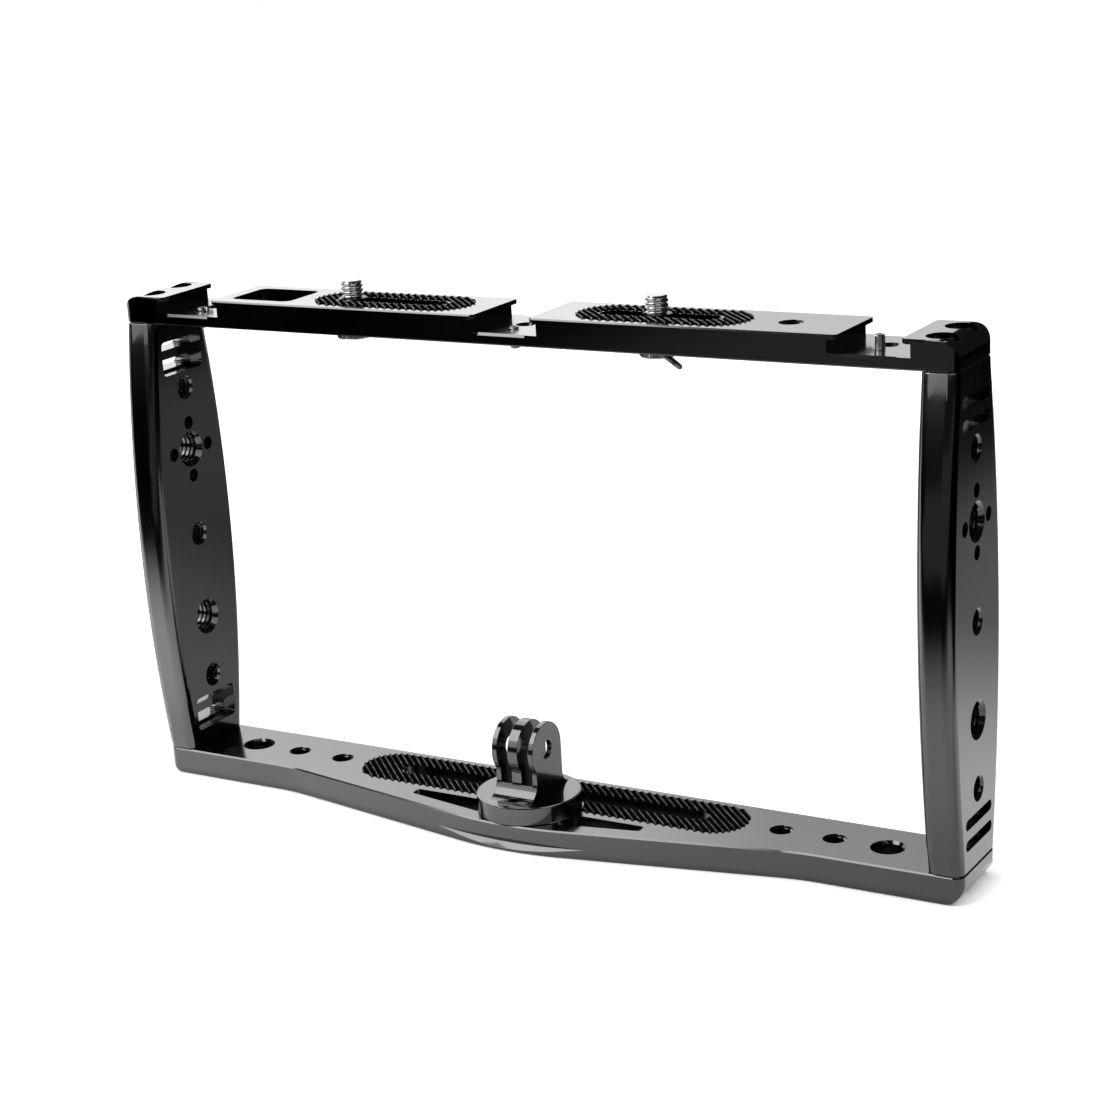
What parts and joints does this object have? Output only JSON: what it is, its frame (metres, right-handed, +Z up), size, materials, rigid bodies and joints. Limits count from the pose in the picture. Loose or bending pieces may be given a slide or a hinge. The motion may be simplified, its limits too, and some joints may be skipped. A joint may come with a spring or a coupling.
{
  "type": "dual grip camera frame",
  "caption": "Handheld camera rig frame: flat top and bottom bars joined by barrel-shaped grips, with accessory shoes, captive camera screws on rubber pads and a swivelling prong mount.",
  "frame": {"origin": "under the middle of the whole frame, on the surface it stands on", "axes": "+X along the bars to the right of someone facing the nose, +Y away from them, +Z up"},
  "size_m": [0.261, 0.0447, 0.1555],
  "materials": {
    "black_anodised": "satin black anodised",
    "pad_rubber": "matte, ribbed",
    "bright_steel": "turned, zinc plated",
    "dark_wire": "drawn wire",
    "black_steel": "black oxide"
  },
  "bodies": {
    "frame": {"top_bar": "black_anodised", "bottom_bar": "black_anodised", "left_handle": "black_anodised", "right_handle": "black_anodised", "top_pad_left": "pad_rubber", "top_pad_right": "pad_rubber", "bottom_pad": "pad_rubber", "mount_screw": "black_steel", "top_left_bolts": "black_steel", "top_right_bolts": "black_steel", "bottom_left_bolts": "black_steel", "bottom_right_bolts": "black_steel"},
    "clip_left": {"screw_clip_left": "bright_steel"},
    "screw_left": {"camera_screw_left": "bright_steel"},
    "ring_left": {"screw_ring_left": "dark_wire"},
    "clip_right": {"screw_clip_right": "bright_steel"},
    "screw_right": {"camera_screw_right": "bright_steel"},
    "ring_right": {"screw_ring_right": "dark_wire"},
    "set_screw_left": {"shoe_screw_left": "bright_steel"},
    "set_screw_middle": {"shoe_screw_middle": "bright_steel"},
    "set_screw_right": {"shoe_screw_right": "bright_steel"},
    "mount": {"prong_mount": "black_anodised"}
  },
  "joints": [
    {"name": "screw_slide_left", "type": "slide", "parent": "frame", "child": "clip_left", "axis": [1, 0, 0], "range_m": [-0.00055, 0.02835]},
    {"name": "screw_spin_left", "type": "hinge", "parent": "clip_left", "child": "screw_left", "pos_m": [-0.0563, 0.00465, 0.15], "axis": [0, 0, 1], "continuous": true},
    {"name": "ring_fold_left", "type": "hinge", "parent": "screw_left", "child": "ring_left", "pos_m": [-0.0563, 0.00465, 0.14055], "axis": [-1, 0, 0], "range_deg": [0, 180]},
    {"name": "screw_slide_right", "type": "slide", "parent": "frame", "child": "clip_right", "axis": [1, 0, 0], "range_m": [-0.01355, 0.01535]},
    {"name": "screw_spin_right", "type": "hinge", "parent": "clip_right", "child": "screw_right", "pos_m": [0.0415, 0.00465, 0.15], "axis": [0, 0, 1], "continuous": true},
    {"name": "ring_fold_right", "type": "hinge", "parent": "screw_right", "child": "ring_right", "pos_m": [0.0415, 0.00465, 0.14055], "axis": [-0.6428, 0.766, 0], "range_deg": [-42, 138]},
    {"name": "shoe_screw_travel_left", "type": "slide", "parent": "frame", "child": "set_screw_left", "axis": [0, 0, 1], "range_m": [-0.0009, 0.0034]},
    {"name": "shoe_screw_travel_middle", "type": "slide", "parent": "frame", "child": "set_screw_middle", "axis": [0, 0, 1], "range_m": [-0.0005, 0.0038]},
    {"name": "shoe_screw_travel_right", "type": "slide", "parent": "frame", "child": "set_screw_right", "axis": [0, 0, 1], "range_m": [-0.0039, 0.0004]},
    {"name": "mount_swivel", "type": "hinge", "parent": "frame", "child": "mount", "pos_m": [0, -0.00735, 0.008], "axis": [0, 0, 1], "continuous": true}
  ]
}
